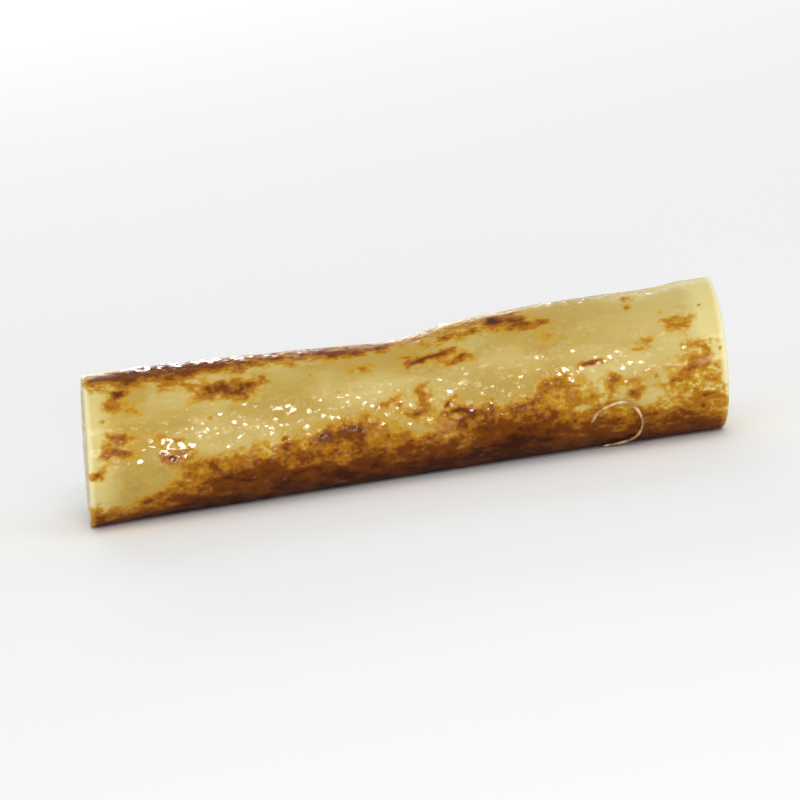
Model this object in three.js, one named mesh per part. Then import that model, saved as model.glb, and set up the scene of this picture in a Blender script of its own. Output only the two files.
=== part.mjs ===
// A cut length of burdock root, scraped and pickled, lying on its side.
//
// Units are millimetres, with +Z up. +X runs along the root towards its thicker end. The origin is on the
// surface that the root lies on, under the middle of its box.
//
// The root is one solid. Its side is a grid of rings, one ring for each station along the root. A ring is a
// nearly round section about a gently bowed middle line, and both ends are knife cuts, which lean a little.

import * as THREE from "three";

// Driving dimensions of the whole root.
const LENGTH = 65.5; // along the middle line, cut to cut
const MEAN_RADIUS = 7.78;
const TAPER = 0.02; // radius gained from the middle to the thick end
const END_FLARE = 0.1; // radius gained at both ends
const BOW = 1.0; // how far the middle stands out of line, sideways
const PRESSED = 0.16; // depth of soft flesh pressed flat along the underside

// The knife cuts. A lean tips the top of the cut, a turn tips its back edge, and both are positive towards +X.
const THIN_CUT = { lean: 5, turn: 1.5 };
const THICK_CUT = { lean: 3.5, turn: -2 };
const CUT_EDGE = 0.32; // rounding of the soft edge round each cut

// The section's departures from a circle, as shares of the radius. Each wave turns slowly along the root.
const SECTION_WAVES = [
  { count: 2, share: 0.016, phase: 10, twist: 12 },
  { count: 3, share: 0.01, phase: 105, twist: 40 },
  { count: 7, share: 0.0035, phase: 20, twist: 55 },
];

// Swellings and hollows, left by side roots and by stones in the soil. A place along the root is a share of its
// length from the thin end. An angle is from the back (+Y) over the top, and a negative height is a hollow.
const SWELLINGS = [
  { along: 0.41, angle: 88, height: -0.98, long: 12.5, wide: 75 },
  { along: 0.495, angle: 84, height: -0.62, long: 4, wide: 50 },
  { along: 0.9, angle: 84, height: -0.14, long: 4, wide: 40 },
  { along: 0.12, angle: 150, height: -0.12, long: 6, wide: 40 },
  { along: 0.3, angle: 205, height: 0.2, long: 7, wide: 34 },
  { along: 0.42, angle: 15, height: 0.34, long: 3, wide: 24 },
  { along: 0.6, angle: 212, height: 0.16, long: 3, wide: 20 },
  { along: 0.8, angle: -8, height: -0.24, long: 5, wide: 36 },
  { along: 0.9, angle: 188, height: 0.14, long: 4, wide: 30 },
];

// How finely the surface is divided.
const SIDES = 60;
const STATIONS = 32;
const EDGE_STEPS = 2; // rings in each rounded edge

const UNDERSIDE = -90; // the angle of the line that the root lies on

const radians = THREE.MathUtils.degToRad;

/** The angle from b to a, in degrees, taken the short way round. */
function shortWay(a, b) {
  return THREE.MathUtils.euclideanModulo(a - b + 180, 360) - 180;
}

/** Distance from the middle line to the skin, at a share of the length and an angle in degrees. */
function radiusAt(along, angle) {
  const fromMiddle = 2 * along - 1;
  let radius = MEAN_RADIUS + TAPER * fromMiddle + END_FLARE * fromMiddle ** 4;
  let share = 1;
  for (const wave of SECTION_WAVES) {
    share += wave.share * Math.cos(radians(wave.count * angle + wave.phase + wave.twist * along));
  }
  radius *= share;
  for (const s of SWELLINGS) {
    const a = ((along - s.along) * LENGTH) / s.long;
    const b = shortWay(angle, s.angle) / s.wide;
    radius += s.height * Math.exp(-a * a - b * b);
  }
  return radius;
}

/** The middle line's place at a share of the length: sideways on a shallow arc, and lying all along the underside. */
function middleAt(along) {
  return {
    y: BOW * 4 * along * (1 - along),
    z: radiusAt(along, UNDERSIDE) - PRESSED,
  };
}

/** How far along X a cut's plane stands from its own centre, at an offset across the root. */
function cutOffset(cut, y, z) {
  return z * Math.tan(radians(cut.lean)) + y * Math.tan(radians(cut.turn));
}

/** One vertex of the side. Inset is how far it is drawn in from the skin, inside a rounded edge. */
function sidePoint(along, angle, inset) {
  const middle = middleAt(along);
  const radius = radiusAt(along, angle) - inset;
  const y = radius * Math.cos(radians(angle));
  const height = Math.max(0, middle.z + radius * Math.sin(radians(angle)));
  const z = height - middle.z;
  const thin = -LENGTH / 2 + cutOffset(THIN_CUT, y, z);
  const thick = LENGTH / 2 + cutOffset(THICK_CUT, y, z);
  return new THREE.Vector3(THREE.MathUtils.lerp(thin, thick, along), middle.y + y, height);
}

/** The rings from cut to cut, each with its place along the root and its inset: an edge, the side, an edge. */
function stations() {
  const edge = [];
  for (let i = 0; i < EDGE_STEPS; i++) {
    const turn = (Math.PI / 2) * (i / EDGE_STEPS);
    edge.push({ along: (CUT_EDGE * (1 - Math.cos(turn))) / LENGTH, inset: CUT_EDGE * (1 - Math.sin(turn)) });
  }
  const side = [];
  const first = CUT_EDGE / LENGTH;
  for (let i = 0; i <= STATIONS; i++) {
    side.push({ along: THREE.MathUtils.lerp(first, 1 - first, i / STATIONS), inset: 0 });
  }
  const farEdge = edge.map(({ along, inset }) => ({ along: 1 - along, inset })).reverse();
  return [...edge, ...side, ...farEdge];
}

/** The closed surface: rings of SIDES vertices joined in a grid, and a fan over each cut. */
function rootGeometry() {
  const rings = stations();
  const vertices = [];
  for (const { along, inset } of rings) {
    for (let i = 0; i < SIDES; i++) {
      vertices.push(sidePoint(along, (360 * i) / SIDES, inset));
    }
  }
  const faces = [];
  for (let r = 0; r < rings.length - 1; r++) {
    for (let i = 0; i < SIDES; i++) {
      const a = r * SIDES + i;
      const b = r * SIDES + ((i + 1) % SIDES);
      faces.push(a, b, b + SIDES, a, b + SIDES, a + SIDES);
    }
  }
  for (const [ring, along] of [[0, 0], [rings.length - 1, 1]]) {
    const middle = middleAt(along);
    const centre = vertices.push(new THREE.Vector3((along - 0.5) * LENGTH, middle.y, middle.z)) - 1;
    for (let i = 0; i < SIDES; i++) {
      const a = ring * SIDES + i;
      const b = ring * SIDES + ((i + 1) % SIDES);
      faces.push(centre, ...(along === 0 ? [b, a] : [a, b]));
    }
  }
  const geometry = new THREE.BufferGeometry().setFromPoints(vertices);
  geometry.setIndex(faces);
  return geometry;
}

/** Moves the geometry so that the origin is under the middle of its box. Its underside is at zero already. */
function centreOverOrigin(geometry) {
  geometry.computeBoundingBox();
  const centre = geometry.boundingBox.getCenter(new THREE.Vector3());
  geometry.translate(-centre.x, -centre.y, 0);
  return geometry;
}

const flesh = new THREE.MeshStandardMaterial({ color: 0xbea152, roughness: 0.35, metalness: 0 });

const root = new THREE.Mesh(centreOverOrigin(rootGeometry()), flesh);
root.name = "burdock_root";
root.geometry.computeVertexNormals();

const part = new THREE.Group();
part.add(root);

export default part;
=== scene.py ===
"""A cut length of pickled burdock root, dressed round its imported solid.

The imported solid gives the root's size and place. RootForm reads its smooth shape back from it, RootSurface
lays a fine grid over that shape and works the scraped skin into it, and the finishes colour and wet it.

All lengths are in metres unless a name ends in _mm, and the frame is the solid's own, with +Z up and +X
along the root. A place on the side is given by its share of the length from the thin cut, and by its angle
in degrees from the back over the top.
"""

from __future__ import annotations

import logging
import math
import sys
from dataclasses import dataclass, field, replace
from enum import Enum

import bpy
import numpy as np
from mathutils import Matrix, Vector

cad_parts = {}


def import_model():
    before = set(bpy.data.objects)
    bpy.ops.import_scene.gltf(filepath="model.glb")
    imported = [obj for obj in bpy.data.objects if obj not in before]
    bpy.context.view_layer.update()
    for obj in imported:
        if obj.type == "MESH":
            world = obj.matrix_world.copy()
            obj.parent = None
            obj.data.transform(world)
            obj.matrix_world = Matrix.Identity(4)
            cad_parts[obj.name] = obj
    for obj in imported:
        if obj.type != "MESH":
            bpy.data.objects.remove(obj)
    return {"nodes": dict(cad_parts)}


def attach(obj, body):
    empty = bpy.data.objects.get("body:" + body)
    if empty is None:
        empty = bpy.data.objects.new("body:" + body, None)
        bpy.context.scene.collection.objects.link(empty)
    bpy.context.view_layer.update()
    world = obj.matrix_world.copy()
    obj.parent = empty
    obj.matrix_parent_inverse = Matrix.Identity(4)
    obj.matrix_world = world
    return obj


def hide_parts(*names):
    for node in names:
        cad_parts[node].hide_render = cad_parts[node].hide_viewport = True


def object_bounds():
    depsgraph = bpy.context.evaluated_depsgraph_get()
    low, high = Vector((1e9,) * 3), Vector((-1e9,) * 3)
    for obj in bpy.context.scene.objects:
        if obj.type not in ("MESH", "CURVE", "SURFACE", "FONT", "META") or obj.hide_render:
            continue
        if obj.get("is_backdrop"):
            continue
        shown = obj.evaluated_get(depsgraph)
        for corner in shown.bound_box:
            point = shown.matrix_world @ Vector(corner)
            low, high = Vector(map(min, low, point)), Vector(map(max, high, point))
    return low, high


LOG = logging.getLogger("burdock")
Array = np.ndarray
Colour = tuple[float, float, float]
Carried = dict[str, Array]
Socket = bpy.types.NodeSocket
MM = 0.001
ROOT_NODE = "burdock_root"
BODY = "root"


# ---------------------------------------------------------------------------------------------------------
# Patterns worked out over whole arrays of points
# ---------------------------------------------------------------------------------------------------------


@dataclass(frozen=True)
class Ramp:
    """A smooth change from start to stop while something else goes from low to high."""

    low: float
    high: float
    start: float = 0.0
    stop: float = 1.0

    def at(self, value: Array) -> Array:
        """start + (stop - start) * t * t * (3 - 2t), where t is the share of the way from low to high."""
        t = np.clip((value - self.low) / (self.high - self.low), 0.0, 1.0)
        return self.start + (self.stop - self.start) * t * t * (3.0 - 2.0 * t)


def short_way(angle: Array, centre: float) -> Array:
    """The angle from centre to angle in degrees, taken the short way round."""
    return (angle - centre + 180.0) % 360.0 - 180.0


def bell(distance: Array, width: float) -> Array:
    """exp(-(distance / width)^2), which is 1 in the middle."""
    return np.exp(-((distance / width) ** 2))


def no_less(least: float, share: Array) -> Array:
    """A share of 0 to 1 squeezed into least to 1."""
    return least + (1.0 - least) * share


def unit(ways: Array) -> Array:
    """Each row brought to length 1."""
    return ways / np.linalg.norm(ways, axis=1, keepdims=True)


def gradient_noise(points: Array, seed: int) -> Array:
    """Smooth noise of about -1 to 1.

    Each corner of a unit lattice holds a fixed random direction. A point's value is the sum over its cell's
    eight corners of that direction dotted with the way from the corner, weighted by the quintic
    6t^5 - 15t^4 + 10t^3 along each axis.

    Args:
        points: places, one row each, in lattice units.
        seed: picks the directions.

    Returns:
        One value for each point.
    """
    table_size = 256
    full_range = 1.6
    rng = np.random.default_rng(seed)
    order = rng.permutation(table_size)
    directions = unit(rng.normal(size=(table_size, 3)))
    cell = np.floor(points).astype(np.int64)
    local = points - cell
    fade = local**3 * (local * (local * 6.0 - 15.0) + 10.0)
    total = np.zeros(len(points))
    for corner in np.ndindex(2, 2, 2):
        offset = np.array(corner)
        x, y, z = ((cell + offset) % table_size).T
        found = directions[order[(order[(order[x] + y) % table_size] + z) % table_size]]
        weight = np.prod(np.where(offset == 1, fade, 1.0 - fade), axis=1)
        total += weight * np.einsum("ij,ij->i", found, local - offset)
    return total * full_range


@dataclass(frozen=True)
class Noise:
    """Gradient noise in two layers, whose coarse lumps have a size along the root and a size across it."""

    seed: int
    along_mm: float
    across_mm: float
    gain: float = 0.5
    shift: float = 17.3

    def at(self, points_mm: Array) -> Array:
        """Coarse noise plus gain times noise twice as fine, which is shifted so that their lattices part.

        Args:
            points_mm: places, one row each.

        Returns:
            One value of about -1 to 1 for each place.
        """
        coarse = points_mm / np.array([self.along_mm, self.across_mm, self.across_mm])
        total = gradient_noise(coarse, self.seed)
        total += self.gain * gradient_noise(coarse * 2.0 + self.shift, self.seed + 1)
        return total / (1.0 + self.gain)


def nearest_seed(points: Array, seed: int) -> Array:
    """Distance from each point to the nearest of the random seeds, one in each unit cell.

    Args:
        points: places, one row each, in cell units.
        seed: picks where in its cell each seed lies.

    Returns:
        One distance for each point, in cell units.
    """
    table_size = 64
    rng = np.random.default_rng(seed)
    places = rng.random((table_size, table_size, table_size, 3))
    cell = np.floor(points).astype(np.int64)
    best = np.full(len(points), np.inf)
    for step in np.ndindex(3, 3, 3):
        near = cell + np.array(step) - 1
        x, y, z = (near % table_size).T
        best = np.minimum(best, np.linalg.norm(near + places[x, y, z] - points, axis=1))
    return best


# ---------------------------------------------------------------------------------------------------------
# The root's smooth shape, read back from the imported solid
# ---------------------------------------------------------------------------------------------------------


@dataclass
class CutPlane:
    """One knife cut: x = start + lean * z + turn * y."""

    start: float
    lean: float
    turn: float

    @classmethod
    def through(cls, points: Array) -> CutPlane:
        """The plane through points, by least squares.

        Args:
            points: places on the cut, one row each.

        Returns:
            The cut.
        """
        columns = np.column_stack([np.ones(len(points)), points[:, 2], points[:, 1]])
        start, lean, turn = np.linalg.lstsq(columns, points[:, 0], rcond=None)[0]
        return cls(start, lean, turn)

    def x_at(self, y: Array, z: Array) -> Array:
        """Where the cut stands along X at places across the root."""
        return self.start + self.lean * z + self.turn * y


@dataclass
class RootForm:
    """The root as a radius about a middle line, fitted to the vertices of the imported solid.

    The middle line is a polynomial, and the radius is a sum of cubic B-splines along the root times waves
    round it. Vertices in the rounded edge of a cut and on the flat underside are left out of the fit.
    """

    node: bpy.types.Object
    splines: int = 26
    waves: int = 8
    line_degree: int = 5
    edge_mm: float = 0.3
    underside_mm: float = 0.01
    stiffness: float = 1e-5
    cut_facing: float = 0.985
    thin: CutPlane = field(init=False)
    thick: CutPlane = field(init=False)
    line_y: Array = field(init=False)
    line_z: Array = field(init=False)
    weights: Array = field(init=False)
    length: float = field(init=False)

    def __post_init__(self) -> None:
        """Fits the cuts, the middle line and the radius."""
        corners = self.read_corners()
        self.thin, self.thick = self.read_cuts()
        y, z = corners[:, 1], corners[:, 2]
        start, stop = self.thin.x_at(y, z), self.thick.x_at(y, z)
        self.length = float(np.mean(stop - start))
        along = (corners[:, 0] - start) / (stop - start)
        edge = self.edge_mm * MM / self.length
        side = (along > edge) & (along < 1.0 - edge)
        self.line_y = np.polyfit(along[side], y[side], self.line_degree)
        self.line_z = np.polyfit(along[side], z[side], self.line_degree)
        side &= z > self.underside_mm * MM
        across = y[side] - np.polyval(self.line_y, along[side])
        up = z[side] - np.polyval(self.line_z, along[side])
        matrix = self.terms(along[side], np.degrees(np.arctan2(up, across)))
        goal = np.hypot(across, up)
        square = matrix.T @ matrix
        square += self.stiffness * np.trace(square) / len(square) * np.eye(len(square))
        self.weights = np.linalg.solve(square, matrix.T @ goal)
        worst = np.abs(matrix @ self.weights - goal).max() / MM
        LOG.info("form fitted to %d vertices, worst miss %.4f mm", len(goal), worst)

    def read_corners(self) -> Array:
        """Reads the solid's vertices.

        Returns:
            One row for each vertex, with no two alike.
        """
        decimals = 8
        mesh = self.node.data
        found = np.empty(len(mesh.vertices) * 3)
        mesh.vertices.foreach_get("co", found)
        return np.unique(found.reshape(-1, 3).round(decimals), axis=0)

    def read_cuts(self) -> tuple[CutPlane, CutPlane]:
        """Fits the two end planes to the faces that look along the root.

        Returns:
            The thin cut and the thick one.
        """
        mesh = self.node.data
        normals = np.empty(len(mesh.polygons) * 3)
        centres = np.empty(len(mesh.polygons) * 3)
        mesh.polygons.foreach_get("normal", normals)
        mesh.polygons.foreach_get("center", centres)
        looks = normals.reshape(-1, 3)[:, 0]
        centres = centres.reshape(-1, 3)
        thin = CutPlane.through(centres[looks < -self.cut_facing])
        return thin, CutPlane.through(centres[looks > self.cut_facing])

    def terms(self, along: Array, angle: Array) -> Array:
        """Every spline times every wave.

        A cubic B-spline at distance d from its centre, in knot steps, is ((2 - d)^3 - 4 (1 - d)^3) / 6,
        with each bracket dropped once it is negative.

        Args:
            along: shares of the length.
            angle: degrees from the back over the top.

        Returns:
            One row for each place, and one column for each product.
        """
        steps = self.splines - 3
        d = np.abs(along[:, None] * steps - np.arange(-1, self.splines - 1))
        bells = (np.clip(2.0 - d, 0.0, None) ** 3 - 4.0 * np.clip(1.0 - d, 0.0, None) ** 3) / 6.0
        turn = np.radians(angle)[:, None] * np.arange(1, self.waves + 1)
        waves = np.column_stack([np.ones(len(angle)), np.cos(turn), np.sin(turn)])
        return (bells[:, :, None] * waves[:, None, :]).reshape(len(angle), -1)

    def place(self, along: Array, angle: Array, inset: Array | float = 0.0) -> Array:
        """Points of the smooth surface, pressed flat where they would go below the ground.

        Args:
            along: shares of the length.
            angle: degrees from the back over the top.
            inset: how far each point is drawn in towards the middle line.

        Returns:
            One point for each place.
        """
        radius = self.terms(along, angle) @ self.weights - inset
        turn = np.radians(angle)
        y = np.polyval(self.line_y, along) + radius * np.cos(turn)
        z = np.clip(np.polyval(self.line_z, along) + radius * np.sin(turn), 0.0, None)
        x = (1.0 - along) * self.thin.x_at(y, z) + along * self.thick.x_at(y, z)
        return np.column_stack([x, y, z])

    def outward(self, along: Array, angle: Array, inset: Array | float = 0.0) -> Array:
        """Normals of the smooth surface: the cross product of its changes round and along the root.

        Args:
            along: shares of the length.
            angle: degrees from the back over the top.
            inset: how far each point is drawn in towards the middle line.

        Returns:
            One unit normal for each place.
        """
        step_along, step_angle = 0.002, 0.5
        ahead = np.clip(along + step_along, 0.0, 1.0)
        behind = np.clip(along - step_along, 0.0, 1.0)
        run = self.place(ahead, angle, inset) - self.place(behind, angle, inset)
        turn = self.place(along, angle + step_angle, inset) - self.place(along, angle - step_angle, inset)
        return unit(np.cross(turn, run))


# ---------------------------------------------------------------------------------------------------------
# What the scraping left on the root
# ---------------------------------------------------------------------------------------------------------


@dataclass(frozen=True)
class Places:
    """Places on the side, their points, the root's length, and the radius that arcs are measured on."""

    along: Array
    angle: Array
    points_mm: Array
    length_mm: float
    radius_mm: float = 7.5

    def past(self, along: float) -> Array:
        """Millimetres along the root from a share of its length."""
        return (self.along - along) * self.length_mm

    def round_from(self, angle: float) -> Array:
        """Millimetres round the root from an angle, the short way."""
        return np.radians(short_way(self.angle, angle)) * self.radius_mm

    def from_cut(self) -> Array:
        """Millimetres along the root from the nearer cut."""
        return np.minimum(self.along, 1.0 - self.along) * self.length_mm


@dataclass(frozen=True)
class Mark:
    """Something oval on the side, by its middle and its half sizes."""

    along: float
    angle: float
    long_mm: float
    wide_mm: float

    def ways(self, places: Places) -> tuple[Array, Array]:
        """How far places are from the middle along and round the root, in shares of the half sizes."""
        return places.past(self.along) / self.long_mm, places.round_from(self.angle) / self.wide_mm


@dataclass(frozen=True)
class Patch(Mark):
    """A patch of skin or of brine. A negative strength takes some away, as where skin was scraped off."""

    strength: float

    def at(self, places: Places) -> Array:
        """strength * exp(-(a^4 + b^4)^(1/2)), where a and b are the ways from its middle."""
        a, b = self.ways(places)
        return self.strength * np.exp(-np.sqrt(a**4 + b**4))


@dataclass(frozen=True)
class SideRootScar(Mark):
    """The slit that a side root left, drawn out round the root."""

    depth_mm: float
    taper: float = 0.5
    least_width: float = 0.3
    bend: float = 0.3
    bend_turn: float = 2.6
    lip_height: float = 0.34
    lip_radius: float = 1.5
    lip_width: float = 0.4

    def at(self, places: Places) -> tuple[Array, Array]:
        """A slit that narrows towards its ends and bends a little, with a raised lip.

        Its width is 1 - taper * b^2, where b is the way from its middle round the root. At a share r of its
        half sizes it is a pit of depth exp(-r^2), and the lip is a bell round it.

        Args:
            places: where to look.

        Returns:
            Height in millimetres, and darkness from 0 to 1, for each place.
        """
        a, b = self.ways(places)
        width = np.clip(1.0 - self.taper * b * b, self.least_width, 1.0)
        r = np.hypot((a + self.bend * np.sin(self.bend_turn * b + self.angle)) / width, b)
        pit = bell(r, 1.0)
        lip = self.lip_height * bell(r - self.lip_radius, self.lip_width)
        return self.depth_mm * (lip - pit), pit


@dataclass(frozen=True)
class Crease:
    """A fold of torn flesh between two places, each a share of the length and an angle in degrees."""

    start: tuple[float, float]
    stop: tuple[float, float]
    wide_mm: float
    height_mm: float

    def at(self, places: Places) -> Array:
        """Height in millimetres: a bell across the fold's line, which fades out in an arc at both ends.

        Args:
            places: where to look.

        Returns:
            One height for each place.
        """
        arc = math.radians(1.0) * places.radius_mm
        size = np.array([places.length_mm, arc])
        way = (np.array(self.stop) - np.array(self.start)) * size
        place = np.column_stack([places.past(self.start[0]), places.round_from(self.start[1])])
        share = np.clip(place @ way / (way @ way), 0.0, 1.0)
        distance = np.linalg.norm(place - share[:, None] * way, axis=1)
        fade = np.sqrt(np.clip(4.0 * share * (1.0 - share), 0.0, 1.0))
        return self.height_mm * fade * bell(distance, self.wide_mm)


@dataclass
class SkinMap:
    """How much skin is left at each place: about 0 on clean flesh, 0.5 at a patch's edge, 1 on full skin.

    Below its border the front keeps its skin, and the border is given by stops, each a share of the length
    and an angle in degrees. Further below the border the skin grows denser, down to near black under the
    root, and this deepening is partly painted shade. Above the border there are patches of skin, and wet is
    where the brine lies thick. Scars and creases are where side roots were torn off.
    """

    shift_mm: float = 0.75
    shift_degrees: float = 6.0
    shift_along: Noise = Noise(41, 1.9, 1.9)
    shift_round: Noise = Noise(46, 1.9, 1.9)
    thin_skin: Ramp = Ramp(-14.0, 16.0, 0.0, 0.66)
    # Further below the border the skin gets denser still: partly real skin, partly painted shade on the
    # underside.
    full_skin: Ramp = Ramp(8.0, 50.0, 0.0, 0.50)
    back_end: float = 346.0
    back_fade: Ramp = Ramp(-8.0, 36.0)
    back_raggedness: float = 20.0
    # The rough edges of the skin are drawn out a little along the root.
    coarse_rough: float = 0.34
    coarse: Noise = Noise(51, 2.6 / 0.7, 2.6)
    fine_rough: float = 0.30
    fine: Noise = Noise(61, 1.0 / 0.7, 1.0)
    room_for_rough: Ramp = Ramp(0.04, 0.36, 0.22, 1.0)
    stray_brine: Noise = Noise(71, 3.4, 3.4)
    stray_depth: Ramp = Ramp(-0.25, 0.4, 0.0, 0.32)
    stray_on_skin: Ramp = Ramp(0.4, 0.9, 1.0, 0.15)
    dry_ends: Ramp = Ramp(0.0, 3.5)
    most_brine: float = 1.6
    border: tuple[tuple[float, float], ...] = (
        (-0.05, 222),
        (0.0, 220),
        (0.06, 224),
        (0.11, 214),
        (0.14, 199),
        (0.20, 193),
        (0.28, 187),
        (0.36, 185),
        (0.42, 184),
        (0.50, 191),
        (0.58, 189),
        (0.66, 186),
        (0.75, 195),
        (0.81, 198),
        (0.87, 203),
        (0.93, 205),
        (1.0, 204),
        (1.05, 206),
    )
    patches: tuple[Patch, ...] = (
        Patch(0.02, 104, 3.0, 1.1, 0.66),
        Patch(0.10, 107, 4.2, 1.6, 0.90),
        Patch(0.19, 105, 3.6, 1.5, 0.68),
        Patch(0.29, 101, 4.6, 1.5, 0.60),
        Patch(0.42, 103, 5.6, 1.6, 0.68),
        Patch(0.42, 116, 1.7, 0.7, 0.40),
        Patch(0.055, 127, 1.2, 0.45, 0.80),
        Patch(0.045, 136, 0.8, 0.8, 0.36),
        Patch(0.078, 140, 0.9, 0.8, 0.30),
        Patch(0.14, 123, 1.4, 0.8, 0.32),
        Patch(0.218, 136, 2.4, 1.0, 0.84),
        Patch(0.268, 133, 1.6, 0.7, 0.42),
        Patch(0.245, 146, 0.9, 0.6, 0.46),
        Patch(0.05, 162, 0.9, 0.6, 0.56),
        Patch(0.036, 173, 1.3, 0.5, 0.34),
        Patch(0.062, 177, 1.2, 0.7, 0.30),
        Patch(0.055, 168, 2.0, 2.2, 0.20),
        Patch(0.012, 188, 0.8, 0.55, 0.62),
        Patch(0.135, 184, 1.8, 1.0, 0.50),
        Patch(0.125, 170, 1.5, 0.5, 0.34),
        Patch(0.37, 123, 1.0, 0.7, 0.22),
        Patch(0.432, 134, 1.3, 0.8, 0.34),
        Patch(0.475, 165, 1.8, 0.6, 0.30),
        Patch(0.41, 181, 3.2, 1.0, 0.46),
        Patch(0.507, 131, 0.8, 0.6, 0.36),
        Patch(0.525, 138, 1.1, 0.45, 0.85),
        Patch(0.556, 134, 1.7, 0.45, 0.85),
        Patch(0.585, 143, 1.4, 0.45, 0.55),
        Patch(0.526, 167, 0.7, 1.2, 0.54),
        Patch(0.513, 178, 1.3, 0.5, 0.52),
        Patch(0.585, 117, 3.0, 0.7, 0.48),
        Patch(0.58, 104, 6.0, 0.8, 0.34),
        Patch(0.648, 103, 0.8, 1.2, 0.46),
        Patch(0.674, 107, 1.9, 1.5, 0.62),
        Patch(0.71, 120, 1.9, 0.7, 0.40),
        Patch(0.568, 176, 0.8, 0.5, 0.50),
        Patch(0.577, 184, 1.6, 0.35, 0.80),
        Patch(0.615, 184, 2.2, 0.8, 0.36),
        Patch(0.735, 173, 1.9, 1.0, 0.56),
        Patch(0.765, 184, 2.2, 1.0, 0.10),
        Patch(0.70, 190, 1.8, 0.9, 0.22),
        Patch(0.73, 135, 1.2, 0.7, 0.18),
        Patch(0.79, 163, 1.3, 0.28, 1.0),
        Patch(0.825, 175, 0.5, 0.5, 0.40),
        Patch(0.866, 161, 0.45, 0.25, 0.55),
        Patch(0.863, 104, 0.5, 0.8, 0.36),
        Patch(0.858, 119, 0.5, 0.6, 0.36),
        Patch(0.85, 189, 0.7, 0.9, 0.50),
        Patch(0.88, 156, 0.9, 0.6, 0.28),
        Patch(0.925, 141, 1.7, 0.9, 0.27),
        Patch(0.935, 181, 2.3, 2.0, 0.23),
        Patch(0.958, 166, 1.5, 1.0, 0.27),
        Patch(0.945, 178, 1.0, 0.3, 0.40),
        Patch(0.922, 186, 1.0, 0.35, 0.40),
        Patch(0.83, 183, 3.6, 1.2, 0.20),
        Patch(0.965, 203, 1.9, 1.6, 0.14),
        Patch(0.962, 191, 1.7, 1.5, 0.20),
        Patch(0.974, 176, 1.0, 1.3, 0.18),
        Patch(0.985, 222, 1.2, 2.2, -0.26),
        Patch(0.67, 214, 4.0, 2.0, 0.34),
        Patch(0.40, 203, 3.6, 0.7, -0.16),
        Patch(0.47, 199, 2.2, 0.9, -0.08),
        Patch(0.08, 200, 2.2, 1.6, -0.30),
        Patch(0.25, 204, 6.0, 1.6, 0.18),
        Patch(0.12, 88, 3.6, 1.5, 0.46),
        Patch(0.33, 82, 3.0, 1.3, 0.42),
        Patch(0.34, 52, 9.0, 2.4, 0.55),
        Patch(0.80, 38, 7.0, 2.0, 0.55),
        Patch(0.14, 20, 5.0, 2.2, 0.50),
        Patch(0.60, 6, 5.0, 1.8, 0.52),
        Patch(0.95, 72, 2.0, 1.3, 0.45),
        Patch(0.93, 352, 3.0, 2.0, 0.44),
    )
    wet: tuple[Patch, ...] = (
        Patch(0.122, 182, 2.3, 1.5, 1.7),
        Patch(0.12, 170, 2.4, 1.2, 0.7),
        Patch(0.19, 170, 2.6, 1.4, 0.6),
        Patch(0.26, 184, 2.0, 1.6, 0.8),
        Patch(0.285, 156, 3.0, 1.5, 0.7),
        Patch(0.335, 172, 3.0, 2.4, 0.85),
        Patch(0.40, 162, 3.0, 1.9, 0.75),
        Patch(0.48, 176, 3.2, 3.0, 0.7),
        Patch(0.575, 167, 3.4, 2.6, 0.75),
        Patch(0.65, 174, 2.4, 1.6, 0.5),
        Patch(0.56, 194, 1.2, 1.0, 1.6),
        Patch(0.72, 170, 2.2, 1.4, 0.7),
        Patch(0.80, 167, 4.4, 2.2, 0.6),
        Patch(0.88, 176, 1.2, 1.0, 0.5),
        Patch(0.17, 95, 5.0, 1.0, 1.2),
        Patch(0.50, 74, 5.0, 2.2, 0.6),
        Patch(0.80, 80, 5.0, 2.2, 0.5),
        Patch(0.12, 42, 4.0, 2.4, 0.7),
        Patch(0.32, 18, 5.0, 2.6, 0.7),
        Patch(0.63, 28, 5.0, 2.6, 0.7),
        Patch(0.86, 8, 4.0, 2.2, 0.7),
        Patch(0.50, 346, 5.0, 1.8, 0.5),
    )
    scars: tuple[SideRootScar, ...] = (
        SideRootScar(0.562, 177, 0.34, 0.30, 0.10),
        SideRootScar(0.132, 185, 0.42, 0.30, 0.10),
        SideRootScar(0.307, 182, 0.24, 0.26, 0.16),
        SideRootScar(0.647, 104, 0.32, 0.80, 0.08),
        SideRootScar(0.420, 16, 0.36, 1.10, 0.12),
        SideRootScar(0.780, 322, 0.34, 1.00, 0.12),
        SideRootScar(0.240, 300, 0.32, 0.90, 0.10),
    )
    creases: tuple[Crease, ...] = (
        Crease((0.092, 170), (0.116, 181), 0.35, 0.05),
        Crease((0.098, 191), (0.119, 187), 0.40, 0.15),
        Crease((0.106, 184), (0.124, 181), 0.32, 0.10),
        Crease((0.130, 176), (0.148, 182), 0.34, 0.07),
        Crease((0.142, 169), (0.157, 182), 0.32, 0.04),
        Crease((0.128, 190), (0.143, 187), 0.34, 0.12),
        Crease((0.262, 188), (0.272, 184), 0.28, 0.09),
        Crease((0.312, 178), (0.325, 182), 0.28, 0.07),
        Crease((0.548, 174), (0.562, 179), 0.30, 0.07),
        Crease((0.553, 197), (0.566, 190), 0.32, 0.14),
        Crease((0.712, 174), (0.724, 170), 0.28, 0.05),
        Crease((0.405, 8), (0.428, 26), 0.34, 0.06),
        Crease((0.766, 314), (0.784, 330), 0.34, 0.06),
    )

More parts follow.
